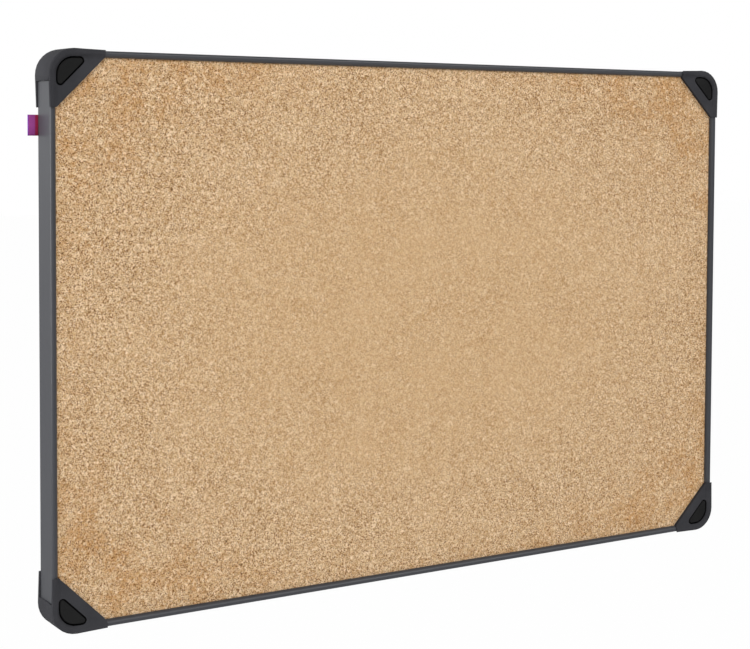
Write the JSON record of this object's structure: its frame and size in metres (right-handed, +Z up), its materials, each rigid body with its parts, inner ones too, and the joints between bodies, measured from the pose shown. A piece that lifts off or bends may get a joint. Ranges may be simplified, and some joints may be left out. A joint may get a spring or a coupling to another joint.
{
  "type": "cork pin board",
  "caption": "Wall-hung rectangular cork board for pinning badges and notes, in a grey aluminium frame with rounded plastic corner caps and pull-out screw covers.",
  "frame": {"origin": "middle of the board on the wall plane, which the backs of the corner caps touch", "axes": "+X along the long side to the viewer's right, +Y into the wall, +Z up; the cork faces -Y"},
  "size_m": [0.6085, 0.0276, 0.4028],
  "materials": {
    "cork": "natural agglomerated cork, matt, fine granules",
    "softboard": "raw soft fibreboard",
    "hardboard": "brown hardboard, screen-textured back",
    "rail_aluminium": "satin anthracite grey",
    "cap_plastic": "satin charcoal moulding",
    "key_plastic": "natural grey moulding",
    "cover_plastic": "satin black moulding",
    "zinc_steel": "zinc plated",
    "ribbon": "woven purple ribbon with a crimson band"
  },
  "bodies": {
    "board": {"cork_sheet": "cork", "core_board": "softboard", "back_sheet": "hardboard", "top_rail": "rail_aluminium", "bottom_rail": "rail_aluminium", "left_rail": "rail_aluminium", "right_rail": "rail_aluminium", "top_left_cap": "cap_plastic", "top_left_key": "key_plastic", "top_left_screw_1": "zinc_steel", "top_left_screw_2": "zinc_steel", "top_right_cap": "cap_plastic", "top_right_key": "key_plastic", "top_right_screw_1": "zinc_steel", "top_right_screw_2": "zinc_steel", "bottom_left_cap": "cap_plastic", "bottom_left_key": "key_plastic", "bottom_left_screw_1": "zinc_steel", "bottom_left_screw_2": "zinc_steel", "bottom_right_cap": "cap_plastic", "bottom_right_key": "key_plastic", "bottom_right_screw_1": "zinc_steel", "bottom_right_screw_2": "zinc_steel", "side_tag": "ribbon"},
    "top_left_cover": {"top_left_cover": "cover_plastic"},
    "top_right_cover": {"top_right_cover": "cover_plastic"},
    "bottom_left_cover": {"bottom_left_cover": "cover_plastic"},
    "bottom_right_cover": {"bottom_right_cover": "cover_plastic"}
  },
  "joints": [
    {"name": "top_left_cover_pull", "type": "slide", "parent": "board", "child": "top_left_cover", "axis": [0, -1, 0], "range_m": [0, 0.02]},
    {"name": "top_right_cover_pull", "type": "slide", "parent": "board", "child": "top_right_cover", "axis": [0, -1, 0], "range_m": [0, 0.02]},
    {"name": "bottom_left_cover_pull", "type": "slide", "parent": "board", "child": "bottom_left_cover", "axis": [0, -1, 0], "range_m": [0, 0.02]},
    {"name": "bottom_right_cover_pull", "type": "slide", "parent": "board", "child": "bottom_right_cover", "axis": [0, -1, 0], "range_m": [0, 0.02]}
  ]
}
